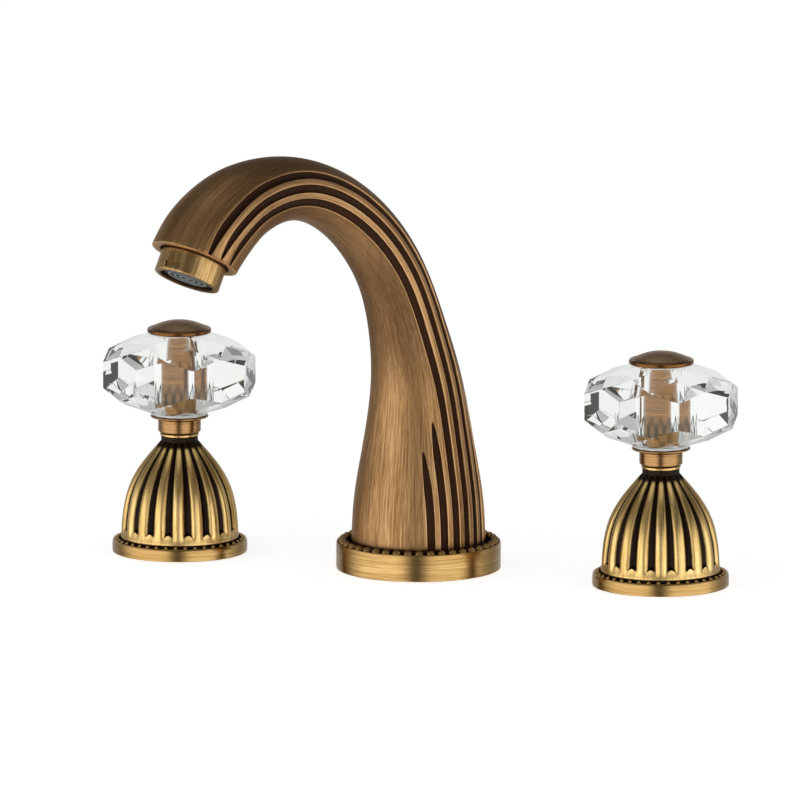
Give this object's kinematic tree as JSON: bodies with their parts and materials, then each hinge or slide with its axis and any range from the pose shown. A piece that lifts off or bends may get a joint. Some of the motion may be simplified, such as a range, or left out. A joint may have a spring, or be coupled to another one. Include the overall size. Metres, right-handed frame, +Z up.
{
  "type": "bathroom mixer faucet",
  "caption": "Widespread basin mixer in antique brass: swivelling grooved arched spout and hot and cold fluted bells with faceted crystal knobs.",
  "frame": {"origin": "the spout's axis at the countertop's upper surface", "axes": "+Z up, +X from the hot valve to the cold valve, the user stands on the -Y side; the spout points to -Y when square and is stored turned 22 degrees towards the hot side"},
  "size_m": [0.2596, 0.1634, 0.2409],
  "materials": {
    "antique_brass": "antique brass, brushed lengthwise, dark in the grooves",
    "bright_brass": "antique brass rubbed bright on ridges, near black in the hollows",
    "dark_brass": "dark antique brass with an orange-brown edge",
    "raw_brass": "plain machined brass",
    "crystal": "clear cut crystal, faceted",
    "clear_plastic": "clear plastic washer",
    "rubber": "black moulded rubber",
    "dark_plastic": "dark moulded plastic",
    "steel": "plain stainless steel",
    "ceramic": "lapped technical ceramic"
  },
  "bodies": {
    "base": {"spout_gasket": "rubber", "spout_flange": "antique_brass", "spout_shank": "raw_brass", "swivel_bushing": "dark_plastic", "spout_o_ring_lower": "rubber", "spout_o_ring_upper": "rubber", "spout_rubber_washer": "rubber", "spout_steel_washer": "steel", "spout_mounting_nut": "raw_brass", "inlet_tee": "raw_brass", "hot_gasket": "rubber", "hot_base_ring": "bright_brass", "hot_bell": "bright_brass", "hot_valve_body": "raw_brass", "hot_lock_nut": "raw_brass", "hot_rubber_washer": "rubber", "hot_steel_washer": "steel", "hot_lower_nut": "raw_brass", "hot_cartridge_seal": "rubber", "hot_cartridge_body": "dark_plastic", "hot_disc_fixed": "ceramic", "hot_bonnet_nut": "raw_brass", "cold_gasket": "rubber", "cold_base_ring": "bright_brass", "cold_bell": "bright_brass", "cold_valve_body": "raw_brass", "cold_lock_nut": "raw_brass", "cold_rubber_washer": "rubber", "cold_steel_washer": "steel", "cold_lower_nut": "raw_brass", "cold_cartridge_seal": "rubber", "cold_cartridge_body": "dark_plastic", "cold_disc_fixed": "ceramic", "cold_bonnet_nut": "raw_brass"},
    "spout": {"spout_body": "antique_brass", "spout_set_screw": "steel", "aerator_housing": "antique_brass", "aerator_insert": "dark_plastic", "aerator_screen": "dark_plastic", "aerator_washer": "rubber"},
    "hot_knob": {"hot_disc_turning": "ceramic", "hot_spindle": "raw_brass", "hot_knob_collar": "antique_brass", "hot_knob_sleeve": "bright_brass", "hot_knob_screw": "steel", "hot_crystal_pad": "clear_plastic", "hot_knob_crystal": "crystal", "hot_knob_cap": "dark_brass"},
    "cold_knob": {"cold_disc_turning": "ceramic", "cold_spindle": "raw_brass", "cold_knob_collar": "antique_brass", "cold_knob_sleeve": "bright_brass", "cold_knob_screw": "steel", "cold_crystal_pad": "clear_plastic", "cold_knob_crystal": "crystal", "cold_knob_cap": "dark_brass"}
  },
  "joints": [
    {"name": "spout_swivel", "type": "hinge", "parent": "base", "child": "spout", "pos_m": [0, 0, 0], "axis": [0, 0, 1], "range_deg": [-38, 82]},
    {"name": "hot_knob_turn", "type": "hinge", "parent": "base", "child": "hot_knob", "pos_m": [-0.1, 0, 0], "axis": [0, 0, 1], "range_deg": [0, 90]},
    {"name": "cold_knob_turn", "type": "hinge", "parent": "base", "child": "cold_knob", "pos_m": [0.1, 0, 0], "axis": [0, 0, 1], "range_deg": [-90, 0]}
  ]
}
